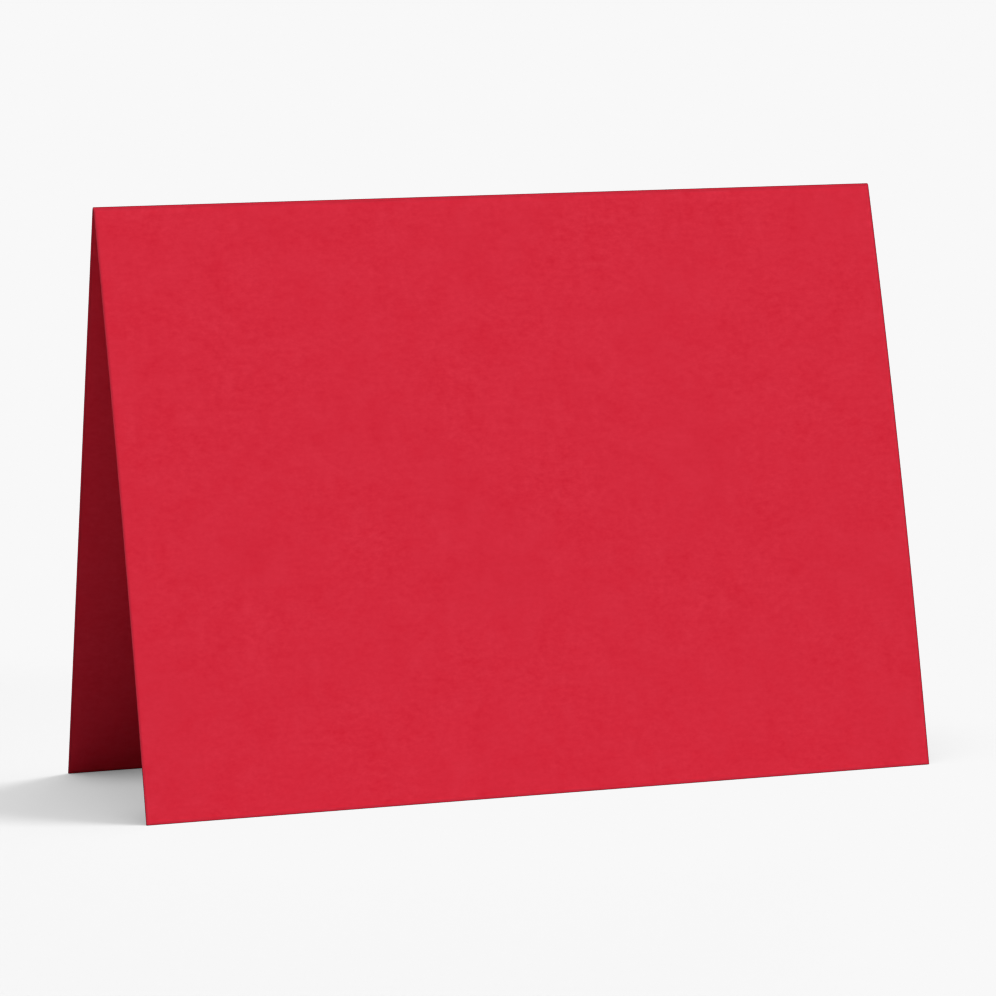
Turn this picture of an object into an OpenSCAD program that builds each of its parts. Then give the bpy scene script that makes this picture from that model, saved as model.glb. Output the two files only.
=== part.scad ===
// Folded card: one sheet of card stock, scored across its middle and folded once, standing on its
// two cut edges like a tent with the fold on top.
// Millimetres. X runs along the fold, the front panel faces -Y, Z is up, and the origin is on the
// floor below the middle of the card.

/* [Sheet] */
// Width of the sheet, along the fold
card_width = 177.8; // [60:0.1:300]
// Length of the flat sheet from cut edge to cut edge, with the score at its middle
sheet_length = 260.35; // [150:0.05:440]
// Thickness of the card stock
caliper = 0.3; // [0.2:0.01:0.6]

/* [Fold] */
// Radius inside the fold
fold_radius = 0.3; // [0.25:0.01:1]
// Radius of the bead that the score raises along the inside of the fold
bead_radius = 0.15; // [0.05:0.01:0.18]

/* [Stance] */
// Angle of the front panel from upright, along a straight line from its foot to the fold
lean_angle = 14.2; // [10:0.1:30]
// How far the middle of the front panel bows out in front of that line
front_bow = 1.4; // [0.8:0.1:3]

/* [Colour] */
// Red, green and blue of the card stock
card_colour = [0.83, 0.17, 0.24];

/* [Hidden] */
$fn = 96;
bow_facets = 1440;
quarter_turn = 90;
degree = PI / 180;
tenth = 0.1;
half_sheet = sheet_length / 2;

// The front panel is a shallow arc, and the radius of its inner face is a whole tenth of a millimetre
half_chord = half_sheet / 2;
bow_radius = tenth * round((half_chord * half_chord / front_bow + front_bow) / 2 / tenth);

// What the fold takes from the sheet, along the middle of its thickness, comes off both panels
bow_turn = half_sheet / bow_radius / degree;
fold_turn = 2 * (quarter_turn - lean_angle) - bow_turn / 2;
panel_length = half_sheet - (fold_radius + caliper / 2) * fold_turn * degree / 2;

// The front panel leans most at the fold and least at its foot
sweep_angle = panel_length / (bow_radius + caliper / 2) / degree;
angle_at_fold = lean_angle + sweep_angle / 2;
angle_at_foot = lean_angle - sweep_angle / 2;

// The inner edge of each cut touches the floor, so the flat back panel leans until its foot is level
// with the front one
front_drop = bow_radius * (sin(angle_at_fold) - sin(angle_at_foot));
fold_height = front_drop - fold_radius * sin(angle_at_fold);
back_reach = norm([panel_length, fold_radius]);
back_angle = acos(fold_height / back_reach) - atan(fold_radius / panel_length);

// How far each foot reaches from under the fold, which puts the middle of the card over the origin
front_chord = bow_radius * (cos(angle_at_foot) - cos(angle_at_fold));
front_reach = front_chord + fold_radius * cos(angle_at_fold) + caliper * cos(angle_at_foot);
rear_reach = panel_length * sin(back_angle) + (fold_radius + caliper) * cos(back_angle);
fold_offset = (front_reach - rear_reach) / 2;

// Each half of the fold is drawn this much past the top, then cut on the line of the score
spare_angle = 5;

// A stretch of the sheet in section, bent to an inside radius through an angle that starts on the
// x axis
module bend(inside, turn) {
  reach = 2 * (inside + caliper);
  intersection() {
    difference() {
      circle(r = inside + caliper);
      circle(r = inside);
    }
    polygon(reach * [[0, 0], [1, 0], [cos(turn / 2), sin(turn / 2)], [cos(turn), sin(turn)]]);
  }
}

// The front panel in section, bowed outward all the way from the fold to its foot
module bowed_panel() {
  mirror([0, 1])
    translate([-bow_radius, 0])
      bend(bow_radius, sweep_angle, $fn = bow_facets);
}

// The back panel in section, flat from the fold to its foot
module flat_panel() {
  translate([0, -panel_length])
    square([caliper, panel_length]);
}

// One half of the sheet in section: its half of the fold, up to the line of the score, and the panel
// that hangs from the other end of it
module half_section(angle) {
  intersection() {
    rotate(angle) {
      bend(fold_radius, quarter_turn - angle + spare_angle);
      translate([fold_radius, 0])
        children();
    }
    translate([0, -half_sheet])
      square([half_sheet, sheet_length]);
  }
}

// The ridge of the score in section, along the inside of the fold
module score_bead() {
  translate([0, fold_radius])
    circle(r = bead_radius);
}

// The whole sheet: its section stands up, and its width runs along X
module folded_card() {
  color(card_colour)
    translate([0, fold_offset, fold_height])
      rotate([90, 0, 90])
        linear_extrude(card_width, center = true) {
          half_section(back_angle)
            flat_panel();
          mirror([1, 0])
            half_section(angle_at_fold)
              bowed_panel();
          score_bead();
        }
}

folded_card();
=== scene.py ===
"""Folded card: a sheet of red card stock, scored, folded once and stood up like a tent.

The sheet is drawn as one strip from the back foot over the fold to the front foot, and then given
its thickness. Metres throughout: X runs along the fold, the front panel faces -Y, Z is up, and the
floor is at Z = 0.
"""

from math import acos, atan2, cos, hypot, pi, radians, sin, sqrt

import bmesh
import bpy
from bpy.props import FloatProperty, FloatVectorProperty, IntProperty, PointerProperty
from mathutils import Matrix, Vector


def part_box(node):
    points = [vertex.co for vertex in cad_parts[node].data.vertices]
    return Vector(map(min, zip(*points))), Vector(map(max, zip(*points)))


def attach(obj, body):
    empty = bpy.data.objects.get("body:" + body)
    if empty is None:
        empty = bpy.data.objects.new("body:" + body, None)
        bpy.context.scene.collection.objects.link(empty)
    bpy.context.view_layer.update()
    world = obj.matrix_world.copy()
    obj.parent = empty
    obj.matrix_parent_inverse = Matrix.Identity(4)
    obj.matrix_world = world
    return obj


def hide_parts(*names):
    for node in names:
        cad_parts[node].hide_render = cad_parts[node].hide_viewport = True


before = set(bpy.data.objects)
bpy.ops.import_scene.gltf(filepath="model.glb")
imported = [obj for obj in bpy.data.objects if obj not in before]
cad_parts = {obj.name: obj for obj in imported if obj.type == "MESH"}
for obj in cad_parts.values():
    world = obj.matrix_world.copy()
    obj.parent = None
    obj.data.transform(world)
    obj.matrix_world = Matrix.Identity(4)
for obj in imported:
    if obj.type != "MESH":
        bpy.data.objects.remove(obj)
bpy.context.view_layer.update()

bl_info = {
    "name": "Folded Card",
    "version": (1, 0, 0),
    "blender": (4, 5, 0),
    "location": "3D View > Sidebar > Card",
    "description": "Makes a folded card from one sheet of card stock, and a plain stage for it",
    "category": "Object",
}

NODE = "folded_card"
UV_MAP = "sheet"
card_low, card_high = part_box(NODE)

# Faces along each panel, and round the fold
PANEL_STEPS = 30
FOLD_STEPS = 30
# An edge between faces that turn further than this is drawn sharp
CREASE_ANGLE = radians(30)
# How squarely a face points sideways where it lies in a side cut
SIDEWAYS = 0.9
# Lengths along the sheet that differ by less than this are the same place
SAME_PLACE = 1e-6
# A point this close to the fold's inner radius, as a share of it, lies on the inside of the fold
NEAR_FOLD = 0.02
# The sheet's two materials
FACE, CUT_EDGE = 0, 1

# Each noise in the paper: features to the metre, detail, and how rough the detail is
CLOUDS = (120.0, 3.0, 0.8)
FIBRES = (450.0, 2.0, 0.8)
PATCHES = (40.0, 1.0, 0.5)
TOOTH = (8000.0, 2.0, 0.6)
MIDDLE_TONE = 0.5
# Fibres lie along the sheet's width, so their noise is packed closer along its length
FIBRE_LIE = (1.0, 1.6, 1.0)
# The fibres show less in some patches and more in others, by a share of their usual strength
PATCH_RANGE = {"From Min": 0.3, "From Max": 0.7, "To Min": 0.7, "To Max": 1.3}
# How matt the deep and the pale tone are, and how little the paper shines
ROUGHNESS = {"To Min": 0.88, "To Max": 0.94}
SPECULAR = 0.12
BUMP_STRENGTH = 0.5
# How much deeper the open fibres of a cut edge are than the tooth of a face
CUT_DEPTH = 2
# A Mix node's sockets for colours, which have the names of those for numbers
MIX_FIRST, MIX_SECOND, MIX_RESULT = 6, 7, 2

# Each lamp's turn to the right of the front, height above the floor and softness
LAMPS = {
    "key": (radians(85), radians(67), radians(14)),
    "front": (radians(45), radians(3), radians(16)),
    "overhead": (0.0, radians(90), radians(40)),
    "back": (radians(150), radians(3), radians(16)),
    "fill": (radians(-60), radians(5), radians(20)),
}
LAMP_DISTANCE = 2
WHITE = (1.0, 1.0, 1.0, 1.0)
# Rays that feel for the card from a place on the floor, for the painted contact shadow at its feet
CONTACT_SHADOW_RAYS = 4

# The picture's width in pixels, the sensor's in millimetres, and what the camera takes in
PHOTO_PIXELS = 996
SENSOR_WIDTH = 36.0
NEAR_LIMIT, FAR_LIMIT = 0.01, 200.0


class CardSheetSettings(bpy.types.PropertyGroup):
    """Sizes of the sheet and of the way it is folded and stands"""

    width: FloatProperty(
        name="Width", description="Width of the sheet, along the fold",
        default=card_high.x - card_low.x, min=0.02, unit="LENGTH", precision=5)
    length: FloatProperty(
        name="Length",
        description="Length of the flat sheet, across the fold from cut edge to cut edge",
        default=0.26035, min=0.04, unit="LENGTH", precision=5)
    caliper: FloatProperty(
        name="Caliper", description="Thickness of the card stock",
        default=0.0003, min=0.0001, unit="LENGTH", precision=5)
    fold_radius: FloatProperty(
        name="Fold Radius", description="Radius inside the fold",
        default=0.0003, min=0.0001, unit="LENGTH", precision=5)
    bead_radius: FloatProperty(
        name="Bead Radius", description="Radius of the bead that the score raises inside the fold",
        default=0.00015, min=0.0, unit="LENGTH", precision=5)
    lean: FloatProperty(
        name="Lean", description="Angle of the front panel from upright, from its foot to the fold",
        default=radians(14.2), min=radians(5), max=radians(40), subtype="ANGLE")
    bow: FloatProperty(
        name="Bow", description="How far the middle of the front panel bows out",
        default=0.0014, min=0.0001, unit="LENGTH", precision=5)
    edge_softness: FloatProperty(
        name="Edge Softness", description="Rounding of the cut edges",
        default=0.00004, min=0.0, unit="LENGTH", precision=6)
    columns: IntProperty(
        name="Columns", description="Faces across the sheet's width", default=40, min=1, max=200)


class CardStockSettings(bpy.types.PropertyGroup):
    """Colours and texture of the card stock"""

    deep_colour: FloatVectorProperty(
        name="Deep", description="Colour of the faces where the dyed fibres lie closest",
        default=(0.579, 0.0097, 0.0280), min=0.0, max=1.0, subtype="COLOR")
    pale_colour: FloatVectorProperty(
        name="Pale", description="Colour of the faces where single fibres lift and catch the light",
        default=(0.652, 0.0273, 0.0533), min=0.0, max=1.0, subtype="COLOR")
    cut_deep_colour: FloatVectorProperty(
        name="Cut Edge Deep", description="Colour between the fibres of the cut edges",
        default=(0.52, 0.018, 0.038), min=0.0, max=1.0, subtype="COLOR")
    cut_pale_colour: FloatVectorProperty(
        name="Cut Edge Pale", description="Colour of the open fibre ends in the cut edges",
        default=(0.72, 0.060, 0.090), min=0.0, max=1.0, subtype="COLOR")
    # Pressed fibres and painted shade: this colour deepens the sheet along its cut edges and the
    # score, and stands also for the shade at the fold and the feet
    pressed_and_shade_colour: FloatVectorProperty(
        name="Pressed",
        description="Colour where the blade and the score have pressed the fibres down",
        default=(0.44, 0.0125, 0.0300), min=0.0, max=1.0, subtype="COLOR")
    # How far the pressed fibres and the painted shade reach from the cut edges and the score
    pressed_and_shade_width: FloatProperty(
        name="Pressed Width",
        description="How far the pressed tone reaches from the cut edges and the score",
        default=0.0006, min=0.00001, unit="LENGTH", precision=5)
    clouding: FloatProperty(
        name="Clouding", description="How much the tone drifts where the fibres lie thick or thin",
        default=0.9, min=0.0, max=5.0, subtype="FACTOR")
    fibre: FloatProperty(
        name="Fibre", description="How much single fibres and tufts show in the tone",
        default=1.15, min=0.0, max=5.0, subtype="FACTOR")
    tooth: FloatProperty(
        name="Tooth", description="Depth of the uncoated surface",
        default=0.000025, min=0.0, unit="LENGTH", precision=6)


class CardStageSettings(bpy.types.PropertyGroup):
    """Floor, lights and camera"""

    floor_colour: FloatVectorProperty(
        name="Floor", description="Colour of the floor",
        default=(0.72, 0.72, 0.72), min=0.0, max=1.0, subtype="COLOR")
    floor_size: FloatProperty(
        name="Floor Size", description="Width of the floor",
        default=120.0, min=1.0, unit="LENGTH")
    floor_plain: FloatProperty(
        name="Floor Plain Share",
        description="How much of the floor the camera sees as plain white, under the shadow",
        default=0.366, min=0.0, max=1.0, subtype="FACTOR")
    # Painted contact shadow: the reach of the ambient occlusion that fades the floor's plain white
    # near the card
    contact_shadow_reach: FloatProperty(
        name="Contact Reach",
        description="How far from the card the plain white of the floor fades towards its feet",
        default=0.02, min=0.0, unit="LENGTH", precision=4)
    backdrop_colour: FloatVectorProperty(
        name="Backdrop",
        description="Colour of the backdrop, and of the floor where no shadow falls",
        default=(0.939, 0.939, 0.939), min=0.0, max=1.0, subtype="COLOR")
    room_strength: FloatProperty(
        name="Room Light", description="Even light from all round", default=0.03, min=0.0)
    key_strength: FloatProperty(
        name="Key Light", description="Soft lamp high on the right", default=1.55, min=0.0)
    front_strength: FloatProperty(
        name="Front Light", description="Broad low lamp in front, on the right",
        default=2.48, min=0.0)
    overhead_strength: FloatProperty(
        name="Overhead Light", description="Broad lamp overhead", default=1.74, min=0.0)
    back_strength: FloatProperty(
        name="Back Light", description="Broad low lamp behind, on the right",
        default=1.32, min=0.0)
    fill_strength: FloatProperty(
        name="Fill Light", description="Weak low lamp in front, on the left",
        default=0.22, min=0.0)
    camera_place: FloatVectorProperty(
        name="Camera", description="Where the camera stands",
        default=(-0.330877, -0.926220, 0.179587), subtype="TRANSLATION", unit="LENGTH", precision=5)
    camera_azimuth: FloatProperty(
        name="Azimuth",
        description="Turn of the camera round the card, from straight in front to the right",
        default=radians(-19.694), subtype="ANGLE")
    camera_elevation: FloatProperty(
        name="Elevation", description="How far the camera looks down",
        default=radians(6.933), subtype="ANGLE")
    camera_roll: FloatProperty(
        name="Roll", description="Tilt of the camera about its own axis",
        default=radians(-0.668), subtype="ANGLE")
    focal_pixels: FloatProperty(
        name="Focal Length", description="Focal length in pixels of the square picture",
        default=4538.88, min=1.0)


def fold_lines(card):
    """Angles, centres and lengths of the sheet's section, measured back (y) and up (z)."""
    half = card.length / 2
    bow_radius = (half * half / 4 / card.bow + card.bow) / 2
    middle = card.caliper / 2
    nominal_turn = pi - 2 * card.lean - half / bow_radius / 2
    panel = half - (card.fold_radius + middle) * nominal_turn / 2
    sweep = panel / (bow_radius + middle)
    at_fold, at_foot = card.lean + sweep / 2, card.lean - sweep / 2
    height = bow_radius * (sin(at_fold) - sin(at_foot)) - card.fold_radius * sin(at_fold)
    back = acos(height / hypot(panel, card.fold_radius)) - atan2(card.fold_radius, panel)
    front_reach = (bow_radius * (cos(at_foot) - cos(at_fold)) + card.fold_radius * cos(at_fold)
                   + card.caliper * cos(at_foot))
    back_reach = panel * sin(back) + (card.fold_radius + card.caliper) * cos(back)
    fold_centre = Vector((0, (front_reach - back_reach) / 2, height))
    front_in = Vector((0, cos(at_fold), -sin(at_fold)))
    return {
        "panel": panel,
        "fold_centre": fold_centre,
        "fold_turn": pi - at_fold - back,
        "back_up": Vector((0, -sin(back), cos(back))),
        "back_out": Vector((0, cos(back), sin(back))),
        "bow_centre": fold_centre + (bow_radius - card.fold_radius) * front_in,
        "sweep": sweep,
    }


def draw_stretch(bm, edge, along, length, steps, centre=(0, 0, 0), turn=0.0, advance=(0, 0, 0)):
    """Carries the sheet on from an edge, round a centre or straight on, and returns its new end."""
    before = len(bm.verts)
    start = edge.verts[0][along]
    made = bmesh.ops.spin(
        bm, geom=[*edge.verts, edge], cent=centre, axis=(1, 0, 0), dvec=Vector(advance) / steps,
        angle=turn, steps=steps, use_merge=False, use_normal_flip=False, use_duplicate=False)
    bm.verts.ensure_lookup_table()
    for i, vert in enumerate(bm.verts[before:]):
        vert[along] = start + length * (i // 2 + 1) / steps
    return next(g for g in made["geom_last"] if isinstance(g, bmesh.types.BMEdge))


def raise_bead(bm, card, lines):
    """Lifts the inside of the fold into the round bead of the score."""
    radius, bead, centre = card.fold_radius, card.bead_radius, lines["fold_centre"]
    for vert in bm.verts:
        out = Vector((0, vert.co.y - centre.y, vert.co.z - centre.z))
        if abs(out.length - radius) > NEAR_FOLD * radius or out.z <= 0:
            continue
        side = radius * out.y / out.length
        if abs(side) < bead:
            top = radius * out.z / out.length - sqrt(bead * bead - side * side)
            vert.co.yz = (centre + out.normalized() * top).yz


def is_cut(face, along, card):
    """Whether a face lies in one of the sheet's four cut edges."""
    if abs(face.normal.x) > SIDEWAYS:
        return True
    places = [vert[along] for vert in face.verts]
    return max(places) < SAME_PLACE or min(places) > card.length - SAME_PLACE


def finish_face(face, material):
    """Gives a face its material; the faces of the sheet are smooth, and its cut edges flat."""
    face.smooth = material == FACE
    face.material_index = material


def make_sheet_mesh(card):
    """One strip from foot to foot over the fold, then its thickness, cut edges and score."""
    lines = fold_lines(card)
    panel, fold_centre = lines["panel"], lines["fold_centre"]
    bm = bmesh.new()
    along = bm.verts.layers.float.new("along")
    foot = fold_centre + card.fold_radius * lines["back_out"] - panel * lines["back_up"]
    ends = [bm.verts.new(foot + Vector((x, 0, 0))) for x in (-card.width / 2, card.width / 2)]
    edge = bm.edges.new(ends)
    edge = draw_stretch(bm, edge, along, panel, PANEL_STEPS, advance=panel * lines["back_up"])
    edge = draw_stretch(bm, edge, along, card.length - 2 * panel, FOLD_STEPS,
                        centre=fold_centre, turn=lines["fold_turn"])
    draw_stretch(bm, edge, along, panel, PANEL_STEPS,
                 centre=lines["bow_centre"], turn=lines["sweep"])
    across = [e for e in bm.edges if abs(e.verts[0].co.x - e.verts[1].co.x) > card.width / 2]
    bmesh.ops.subdivide_edges(bm, edges=across, cuts=card.columns - 1)

    # The strip is the inside of the sheet: its faces turn inwards, and the thickness goes outwards
    bmesh.ops.recalc_face_normals(bm, faces=bm.faces)
    if max(bm.faces, key=lambda f: f.calc_center_median().y).normal.y > 0:
        bmesh.ops.reverse_faces(bm, faces=bm.faces)
    bmesh.ops.solidify(bm, geom=bm.faces, thickness=card.caliper)

    for face in bm.faces:
        finish_face(face, CUT_EDGE if is_cut(face, along, card) else FACE)
    if card.edge_softness:
        rims = [e for e in bm.edges if len({f.material_index for f in e.link_faces}) > 1]
        softened = bmesh.ops.bevel(
            bm, geom=rims, offset=card.edge_softness, offset_type="OFFSET", affect="EDGES",
            segments=2, profile=0.5, material=-1)
        for face in softened["faces"]:
            finish_face(face, CUT_EDGE)
    raise_bead(bm, card, lines)
    for edge in bm.edges:
        rim = len({f.smooth for f in edge.link_faces}) > 1
        edge.smooth = not rim and edge.calc_face_angle(0) < CREASE_ANGLE

    sheet = bm.loops.layers.uv.new(UV_MAP)
    for face in bm.faces:
        for loop in face.loops:
            loop[sheet].uv = (loop.vert.co.x, loop.vert[along])
    mesh = bpy.data.meshes.new("card_sheet")
    bm.to_mesh(mesh)
    bm.free()
    return mesh


def empty_tree(owner):
    """The node tree of a material or a world, with nothing in it yet."""
    owner.use_nodes = True
    owner.node_tree.nodes.clear()
    return owner.node_tree


def node(tree, kind, place, settings=None, sockets=None):
    """Adds a node with its settings, and sets each socket or links it to another node's output."""
    made = tree.nodes.new(kind)
    made.location = place
    for key, value in (settings or {}).items():
        setattr(made, key, value)
    for key, value in (sockets or {}).items():
        if isinstance(value, bpy.types.NodeSocket):
            tree.links.new(value, made.inputs[key])
        else:
            made.inputs[key].default_value = value
    return made


def calc(tree, operation, place, *values):
    """Adds a Math node for numbers or other nodes' outputs, and returns its result."""
    made = node(tree, "ShaderNodeMath", place, {"operation": operation}, dict(enumerate(values)))
    return made.outputs["Value"]


def noise(tree, place, vector, kind):
    """Adds one of the paper's noises, and returns its value."""
    scale, detail, roughness = kind
    made = node(tree, "ShaderNodeTexNoise", place, sockets={
        "Vector": vector, "Scale": scale, "Detail": detail, "Roughness": roughness})
    return made.outputs["Fac"]


def mix_colours(tree, place, factor, first, second):
    """Adds a mix of two colours, and returns its result."""
    made = node(tree, "ShaderNodeMix", place, {"data_type": "RGBA"}, {
        "Factor": factor, MIX_FIRST: first, MIX_SECOND: second})
    return made.outputs[MIX_RESULT]


def paper_group():
    """Formation of paper: drifts, tufts of fibre and a fine tooth, from a place in metres."""
    name = "Paper Formation"
    if name in bpy.data.node_groups:
        return bpy.data.node_groups[name]
    group = bpy.data.node_groups.new(name, "ShaderNodeTree")
    interface = group.interface
    interface.new_socket("Place", in_out="INPUT", socket_type="NodeSocketVector")
    for label in ("Clouding", "Fibre"):
        socket = interface.new_socket(label, in_out="INPUT", socket_type="NodeSocketFloat")
        socket.default_value = 1.0
    for label in ("Tone", "Height"):
        interface.new_socket(label, in_out="OUTPUT", socket_type="NodeSocketFloat")

    start = node(group, "NodeGroupInput", (-900, 0)).outputs
    lie = node(group, "ShaderNodeMapping", (-700, -100), sockets={
        "Vector": start["Place"], "Scale": FIBRE_LIE}).outputs["Vector"]
    patch = noise(group, (-450, 500), start["Place"], PATCHES)
    cloud = noise(group, (-450, 250), start["Place"], CLOUDS)
    fibre = noise(group, (-450, 0), lie, FIBRES)
    tooth = noise(group, (-450, -250), lie, TOOTH)
    showing = node(group, "ShaderNodeMapRange", (-200, 500), sockets={
        "Value": patch, **PATCH_RANGE}).outputs["Result"]
    cloud_drift = calc(group, "SUBTRACT", (-200, 250), cloud, MIDDLE_TONE)
    fibre_drift = calc(group, "SUBTRACT", (-200, 0), fibre, MIDDLE_TONE)
    uneven = calc(group, "MULTIPLY", (50, 0), fibre_drift, showing)
    clouded = calc(group, "MULTIPLY_ADD", (50, 250), cloud_drift, start["Clouding"], MIDDLE_TONE)
    tone = calc(group, "MULTIPLY_ADD", (300, 150), uneven, start["Fibre"], clouded)
    relief = calc(group, "ADD", (300, -200), fibre, tooth)
    node(group, "NodeGroupOutput", (700, 0), sockets={"Tone": tone, "Height": relief})
    return group


def press_and_shade_edges(tree, place, colour, card, stock):
    """Deepens a colour along the cut edges and the score, by a place on the flat sheet: pressed
    fibres, and painted shade where the fold and the feet fall dark.
    """
    apart = node(tree, "ShaderNodeSeparateXYZ", (-450, 500), sockets={"Vector": place}).outputs
    across = calc(tree, "ABSOLUTE", (-250, 600), apart["X"])
    from_fold = calc(tree, "SUBTRACT", (-250, 450), apart["Y"], card.length / 2)
    along = calc(tree, "ABSOLUTE", (-100, 450), from_fold)
    to_side = calc(tree, "SUBTRACT", (50, 650), card.width / 2, across)
    to_foot = calc(tree, "SUBTRACT", (50, 500), card.length / 2, along)
    to_cut = calc(tree, "MINIMUM", (200, 600), to_side, to_foot)
    to_score = calc(tree, "SUBTRACT", (200, 450), along, card.fold_radius)
    nearest = calc(tree, "MINIMUM", (350, 550), to_cut, to_score)
    # Mask of the pressed fibres and the painted shade along the cut edges and the score
    pressed_shade_mask = node(tree, "ShaderNodeMapRange", (500, 550), {"interpolation_type": "SMOOTHSTEP"}, {
        "Value": nearest, "From Max": stock.pressed_and_shade_width, "To Min": 1.0, "To Max": 0.0})
    return mix_colours(
        tree, (650, 300), pressed_shade_mask.outputs["Result"], colour, (*stock.pressed_and_shade_colour, 1.0))


def paper_material(name, deep, pale, coordinates, stock, depth, card=None):
    """Uncoated card stock between two tones, with the paper's formation laid out by UV or by place.

    Where the card is given, its cut edges and score are pressed, and painted shade darkens them.
    """
    material = bpy.data.materials.new(name)
    tree = empty_tree(material)
    if coordinates == "UV":
        source = node(tree, "ShaderNodeUVMap", (-700, 0), {"uv_map": UV_MAP})
    else:
        source = node(tree, "ShaderNodeTexCoord", (-700, 0))
    place = source.outputs[coordinates]
    paper = node(tree, "ShaderNodeGroup", (-450, 0), {"node_tree": paper_group()}, {
        "Place": place, "Clouding": stock.clouding, "Fibre": stock.fibre}).outputs
    colour = mix_colours(tree, (0, 150), paper["Tone"], (*deep, 1.0), (*pale, 1.0))
    # Pressed fibres and painted shade along the cut edges and the score
    if card:
        colour = press_and_shade_edges(tree, place, colour, card, stock)
    matt = node(tree, "ShaderNodeMapRange", (0, -100), sockets={
        "Value": paper["Tone"], **ROUGHNESS})
    bump = node(tree, "ShaderNodeBump", (200, -300), sockets={
        "Height": paper["Height"], "Strength": BUMP_STRENGTH, "Distance": depth})
    shader = node(tree, "ShaderNodeBsdfPrincipled", (900, 0), sockets={
        "Base Color": colour, "Roughness": matt.outputs["Result"],
        "Normal": bump.outputs["Normal"], "Specular IOR Level": SPECULAR})
    node(tree, "ShaderNodeOutputMaterial", (1200, 0), sockets={"Surface": shader.outputs["BSDF"]})
    return material


def seen_directly(tree, place):
    """1 for the camera's rays and their reflected and refracted ones, 0 for light on the card."""
    x, y = place
    path = node(tree, "ShaderNodeLightPath", (x, y)).outputs
    first = calc(tree, "MAXIMUM", (x + 200, y), path["Is Camera Ray"], path["Is Glossy Ray"])
    return calc(tree, "MAXIMUM", (x + 400, y), first, path["Is Transmission Ray"])


def floor_material(stage):
    """Plain matt floor, part of which shows as plain white so that the shadow on it stays light.

    That part fades close to the card by ambient occlusion, a painted contact shadow that leaves a
    dark line at its feet.
    """
    material = bpy.data.materials.new("floor_paint")
    tree = empty_tree(material)
    paint = node(tree, "ShaderNodeBsdfDiffuse", (0, 0), sockets={
        "Color": (*stage.floor_colour, 1.0)})
    white = node(tree, "ShaderNodeEmission", (0, -150), sockets={"Color": WHITE, "Strength": 1.0})
    seen = seen_directly(tree, (-650, 250))
    share = calc(tree, "MULTIPLY", (0, 250), seen, stage.floor_plain)
    # Painted contact shadow: ambient occlusion fades the plain white close to the card's feet
    clear = node(tree, "ShaderNodeAmbientOcclusion", (-200, 450), {"samples": CONTACT_SHADOW_RAYS}, {
        "Distance": stage.contact_shadow_reach})
    painted_shadow_share = calc(tree, "MULTIPLY", (150, 350), share, clear.outputs["AO"])
    mix = node(tree, "ShaderNodeMixShader", (350, 0), sockets={
        "Fac": painted_shadow_share, 1: paint.outputs["BSDF"], 2: white.outputs["Emission"]})
    node(tree, "ShaderNodeOutputMaterial", (500, 0), sockets={"Surface": mix.outputs["Shader"]})
    return material


def room_light(stage):
    """A little even light from all round, with the backdrop's colour where it is seen directly."""
    world = bpy.data.worlds.new("studio")
    bpy.context.scene.world = world
    tree = empty_tree(world)
    room = node(tree, "ShaderNodeBackground", (0, 100), sockets={
        "Color": WHITE, "Strength": stage.room_strength})
    view = node(tree, "ShaderNodeBackground", (0, -50), sockets={
        "Color": (*stage.backdrop_colour, 1.0), "Strength": 1.0})
    mix = node(tree, "ShaderNodeMixShader", (250, 0), sockets={
        "Fac": seen_directly(tree, (-650, 300)),
        1: room.outputs["Background"], 2: view.outputs["Background"]})
    node(tree, "ShaderNodeOutputWorld", (500, 0), sockets={"Surface": mix.outputs["Shader"]})


def add_lamp(name, turn, height, softness, strength):
    """A soft lamp far away, turned to the right of the front and raised above the floor."""
    lamp = bpy.data.lights.new(name, "SUN")
    lamp.energy = strength
    lamp.angle = softness
    way = Vector((cos(height) * sin(turn), -cos(height) * cos(turn), sin(height)))
    place = bpy.data.objects.new(name, lamp)
    place.rotation_euler = way.to_track_quat("Z", "Y").to_euler()
    place.location = LAMP_DISTANCE * way
    bpy.context.scene.collection.objects.link(place)


def add_camera(stage):
    """The camera, turned and placed as the photograph's was."""
    a, e, roll = stage.camera_azimuth, stage.camera_elevation, stage.camera_roll
    back = Vector((sin(a) * cos(e), -cos(a) * cos(e), sin(e)))
    right = Vector((cos(a), sin(a), 0))
    up = back.cross(right)
    across = cos(roll) * right + sin(roll) * up
    upright = -sin(roll) * right + cos(roll) * up
    data = bpy.data.cameras.new("camera")
    data.sensor_width = SENSOR_WIDTH
    data.lens = stage.focal_pixels / PHOTO_PIXELS * SENSOR_WIDTH
    data.clip_start, data.clip_end = NEAR_LIMIT, FAR_LIMIT
    camera = bpy.data.objects.new("camera", data)
    turned = Matrix((across, upright, back)).transposed().to_4x4()
    camera.matrix_world = Matrix.Translation(stage.camera_place) @ turned
    bpy.context.scene.collection.objects.link(camera)
    bpy.context.scene.camera = camera


class CARD_OT_make_sheet(bpy.types.Operator):
    """Make the folded sheet of card stock"""

    bl_idname = "card.make_sheet"
    bl_label = "Make Sheet"

    def execute(self, context):
        card, stock = context.scene.card_sheet, context.scene.card_stock
        sheet = bpy.data.objects.new("card_sheet", make_sheet_mesh(card))
        context.scene.collection.objects.link(sheet)
        sheet.data.materials.append(paper_material(
            "card_face", stock.deep_colour, stock.pale_colour, "UV", stock, stock.tooth, card))
        sheet.data.materials.append(paper_material(
            "card_cut_edge", stock.cut_deep_colour, stock.cut_pale_colour, "Object", stock,
            CUT_DEPTH * stock.tooth))
        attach(sheet, "root")
        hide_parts(NODE)
        return {"FINISHED"}


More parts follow.
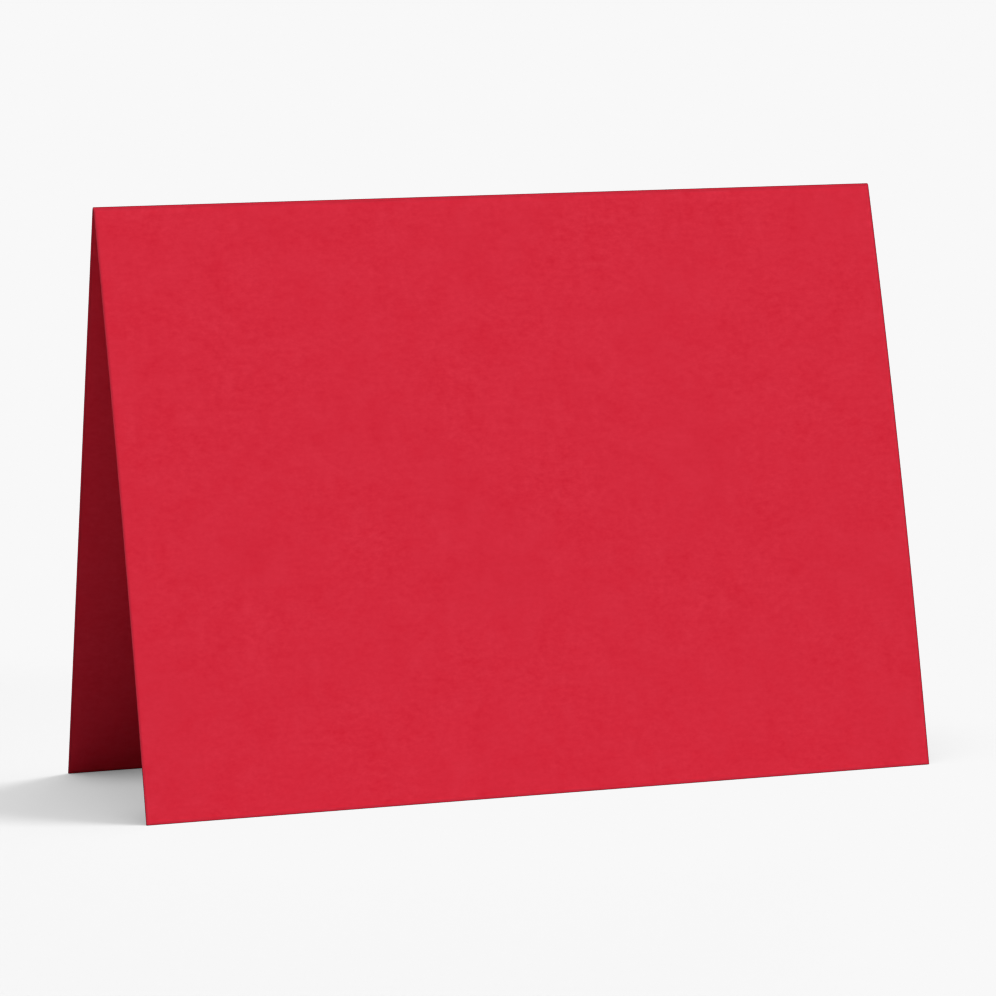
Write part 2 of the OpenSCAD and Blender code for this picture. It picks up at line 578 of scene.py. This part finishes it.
class CARD_OT_set_stage(bpy.types.Operator):
    """Lay the floor, and set the lights and the camera"""

    bl_idname = "card.set_stage"
    bl_label = "Set Stage"

    def execute(self, context):
        stage = context.scene.card_stage
        bm = bmesh.new()
        bmesh.ops.create_grid(bm, x_segments=1, y_segments=1, size=stage.floor_size / 2)
        mesh = bpy.data.meshes.new("floor")
        bm.to_mesh(mesh)
        bm.free()
        mesh.materials.append(floor_material(stage))
        floor = bpy.data.objects.new("floor", mesh)
        floor.is_shadow_catcher = True
        context.scene.collection.objects.link(floor)
        room_light(stage)
        for name, (turn, height, softness) in LAMPS.items():
            add_lamp(name, turn, height, softness, getattr(stage, name + "_strength"))
        add_camera(stage)
        context.scene.view_settings.view_transform = "Standard"
        return {"FINISHED"}


class CARD_PT_sidebar(bpy.types.Panel):
    """The card's settings and steps"""

    bl_idname = "CARD_PT_sidebar"
    bl_label = "Folded Card"
    bl_space_type = "VIEW_3D"
    bl_region_type = "UI"
    bl_category = "Card"

    def draw(self, context):
        steps = {"card_stock": "card.make_sheet", "card_stage": "card.set_stage"}
        for group in SETTINGS:
            box = self.layout.box()
            settings = getattr(context.scene, group)
            for key in settings.bl_rna.properties.keys():
                if key not in ("name", "rna_type"):
                    box.prop(settings, key)
            if group in steps:
                box.operator(steps[group])


SETTINGS = {
    "card_sheet": CardSheetSettings,
    "card_stock": CardStockSettings,
    "card_stage": CardStageSettings,
}
CLASSES = (*SETTINGS.values(), CARD_OT_make_sheet, CARD_OT_set_stage, CARD_PT_sidebar)


def register():
    """Adds the settings to the scene, and the operators and the panel to Blender."""
    for cls in CLASSES:
        bpy.utils.register_class(cls)
    for name, cls in SETTINGS.items():
        setattr(bpy.types.Scene, name, PointerProperty(type=cls))


def unregister():
    """Takes them away again."""
    for name in SETTINGS:
        delattr(bpy.types.Scene, name)
    for cls in reversed(CLASSES):
        bpy.utils.unregister_class(cls)


def main():
    """Makes the card and its stage."""
    register()
    bpy.ops.card.make_sheet()
    bpy.ops.card.set_stage()


if __name__ == "__main__":
    main()
